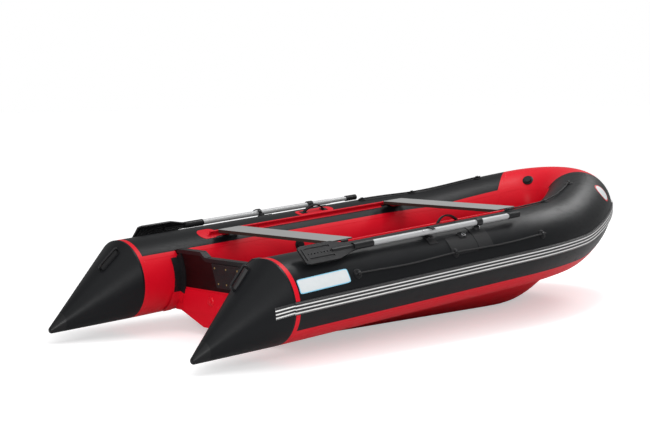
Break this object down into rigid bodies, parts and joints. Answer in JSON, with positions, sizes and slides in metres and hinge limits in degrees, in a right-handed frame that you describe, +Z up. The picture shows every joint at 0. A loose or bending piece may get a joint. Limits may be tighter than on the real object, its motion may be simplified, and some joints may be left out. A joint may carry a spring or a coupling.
{
  "type": "inflatable boat with transom, sliding seats and oars",
  "caption": "Black and red inflatable boat with plywood transom and motor pads, sliding seats, oars that swing out, grab handles and lifelines",
  "frame": {"origin": "middle of the overall box at the plane that the boat parks on", "axes": "+X to the bow, +Y to port, +Z up; the boat is pitched 3.4 degrees bow-up as it rests on its flat bottom"},
  "size_m": [3.8712, 1.7372, 0.8298],
  "materials": {
    "black_pvc": "satin black PVC-coated fabric",
    "red_pvc": "satin red PVC-coated fabric",
    "black_rubber": "moulded black rubber",
    "black_plastic": "moulded black plastic, lightly ribbed",
    "plywood_dark": "varnished dark plywood",
    "seat_top": "grey faced plywood with dark edge",
    "aluminium": "anodised aluminium tube",
    "rope": "braided black rope",
    "floor_grey": "grey non-slip floor panel"
  },
  "bodies": {
    "hull": {"port_tube": "black_pvc", "starboard_tube": "black_pvc", "bow_tube": "black_pvc", "port_cone": "black_pvc", "starboard_cone": "black_pvc", "cone_caps": "black_rubber", "transom": "plywood_dark", "transom_edge_trim": "black_rubber", "outer_motor_pad": "black_plastic", "inner_motor_pad": "black_plastic", "stern_skirt": "red_pvc", "drain_valve": "black_plastic", "transom_mounts": "black_rubber", "hull_bottom": "red_pvc", "floor_deck": "floor_grey", "bottom_guards": "black_rubber", "rubbing_strake": "black_rubber", "seat_rails": "red_pvc", "lifeline_eyes": "black_plastic", "lifelines": "rope", "side_handles": "black_rubber", "cone_handles": "black_rubber", "tow_eye": "black_plastic", "air_valves": "black_plastic", "oarlock_bases": "black_rubber", "oar_clips": "black_plastic"},
    "port_oar": {"port_oar_blade": "black_plastic", "port_oar_shaft": "aluminium", "port_oar_inner_shaft": "aluminium", "port_oar_grip": "black_rubber", "port_oarlock": "black_plastic"},
    "starboard_oar": {"starboard_oar_blade": "black_plastic", "starboard_oar_shaft": "aluminium", "starboard_oar_inner_shaft": "aluminium", "starboard_oar_grip": "black_rubber", "starboard_oarlock": "black_plastic"},
    "aft_seat": {"aft_seat_board": "seat_top", "aft_seat_slides": "black_plastic"},
    "fore_seat": {"fore_seat_board": "seat_top", "fore_seat_slides": "black_plastic"}
  },
  "joints": [
    {"name": "port_oar_swing", "type": "hinge", "parent": "hull", "child": "port_oar", "pos_m": [0.11431, 0.77, 0.63101], "axis": [0.0557, -0.342, -0.938], "range_deg": [0, 105]},
    {"name": "starboard_oar_swing", "type": "hinge", "parent": "hull", "child": "starboard_oar", "pos_m": [0.00251, -0.77, 0.62436], "axis": [-0.0557, -0.342, 0.938], "range_deg": [0, 105]},
    {"name": "aft_seat_slide", "type": "slide", "parent": "hull", "child": "aft_seat", "axis": [0.9982, 0, 0.0593], "range_m": [-0.06, 0.55]},
    {"name": "fore_seat_slide", "type": "slide", "parent": "hull", "child": "fore_seat", "axis": [0.9982, 0, 0.0593], "range_m": [-0.55, 0]}
  ]
}
